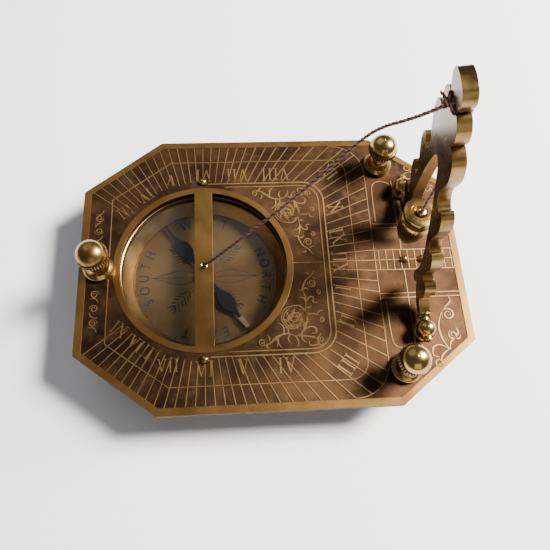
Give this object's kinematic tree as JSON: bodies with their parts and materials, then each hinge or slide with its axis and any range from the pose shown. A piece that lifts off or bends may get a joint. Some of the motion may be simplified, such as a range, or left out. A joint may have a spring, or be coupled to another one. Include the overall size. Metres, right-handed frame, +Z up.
{
  "type": "portable string-gnomon sundial compass",
  "caption": "Portable brass sundial: eight-sided plate on levelling screws, sunk compass, and a folding pierced arm that holds the shadow thread and a plumb bob.",
  "frame": {"origin": "on the surface it stands on, under the middle of the dial plate", "axes": "+X towards the dial's north, where the arm is hinged; +Y towards its west; +Z up"},
  "size_m": [0.108, 0.0824, 0.0891],
  "materials": {
    "brass_etched": "etched brass with dark brown patina in the fields and bright raised lines",
    "brass_bright": "turned and polished brass, lightly tarnished",
    "brass_dark": "dark antiqued brass",
    "brass_arm": "antiqued brass with worn bright edges",
    "brass_card": "satin brass with black print",
    "blued_steel": "dark blued steel",
    "glass": "clear flat window glass",
    "thread": "two-ply twisted maroon thread"
  },
  "bodies": {
    "plate": {"dial_plate": "brass_etched", "compass_bowl": "brass_dark", "compass_card": "brass_card", "compass_glass": "glass", "glass_ring": "brass_bright", "needle_pivot": "brass_bright", "bowl_rivet_west": "brass_bright", "bowl_rivet_east": "brass_bright", "meridian_stud_south": "brass_bright", "meridian_stud_north": "brass_bright", "hinge_post_west": "brass_bright", "hinge_post_east": "brass_bright", "level_boss_south": "brass_bright", "level_boss_west": "brass_bright", "level_boss_east": "brass_bright", "gnomon_string": "thread", "string_knot": "thread"},
    "needle": {"compass_needle": "blued_steel", "needle_cap": "brass_bright"},
    "arm": {"gnomon_arm": "brass_arm", "waist_knot": "thread", "plumb_tail": "thread"},
    "plumb": {"plumb_line": "thread", "plumb_bob": "brass_bright", "plumb_cap": "brass_bright"},
    "pad_south": {"foot_pad_south": "brass_bright"},
    "pad_west": {"foot_pad_west": "brass_bright"},
    "pad_east": {"foot_pad_east": "brass_bright"},
    "screw_south": {"level_screw_south": "brass_bright"},
    "screw_west": {"level_screw_west": "brass_bright"},
    "screw_east": {"level_screw_east": "brass_bright"}
  },
  "joints": [
    {"name": "needle_swing", "type": "hinge", "parent": "plate", "child": "needle", "pos_m": [-0.0196, 0, 0.0071], "axis": [0, 0, 1], "continuous": true},
    {"name": "arm_fold", "type": "hinge", "parent": "plate", "child": "arm", "pos_m": [0.0396, 0, 0.0169], "axis": [0, -1, 0], "range_deg": [-8.5, 81.5], "deforming": ["gnomon_string"]},
    {"name": "plumb_swing", "type": "hinge", "parent": "arm", "child": "plumb", "pos_m": [0.03444, 0, 0.06567], "axis": [0, -1, 0], "range_deg": [-1, 9]},
    {"name": "south_lift", "type": "slide", "parent": "plate", "child": "pad_south", "axis": [0, 0, 1], "range_m": [-0.0014, 0.0014]},
    {"name": "south_turn", "type": "hinge", "parent": "pad_south", "child": "screw_south", "pos_m": [-0.0484, 0, 0.0135], "axis": [0, 0, 1], "range_deg": [-720, 720]},
    {"name": "west_lift", "type": "slide", "parent": "plate", "child": "pad_west", "axis": [0, 0, 1], "range_m": [-0.0014, 0.0014]},
    {"name": "west_turn", "type": "hinge", "parent": "pad_west", "child": "screw_west", "pos_m": [0.0335, 0.0316, 0.0135], "axis": [0, 0, 1], "range_deg": [-720, 720]},
    {"name": "east_lift", "type": "slide", "parent": "plate", "child": "pad_east", "axis": [0, 0, 1], "range_m": [-0.0014, 0.0014]},
    {"name": "east_turn", "type": "hinge", "parent": "pad_east", "child": "screw_east", "pos_m": [0.0335, -0.0316, 0.0135], "axis": [0, 0, 1], "range_deg": [-720, 720]}
  ],
  "couplings": [
    {"joint": "plumb_swing", "follows": "arm_fold", "ratio": 0.11}
  ]
}
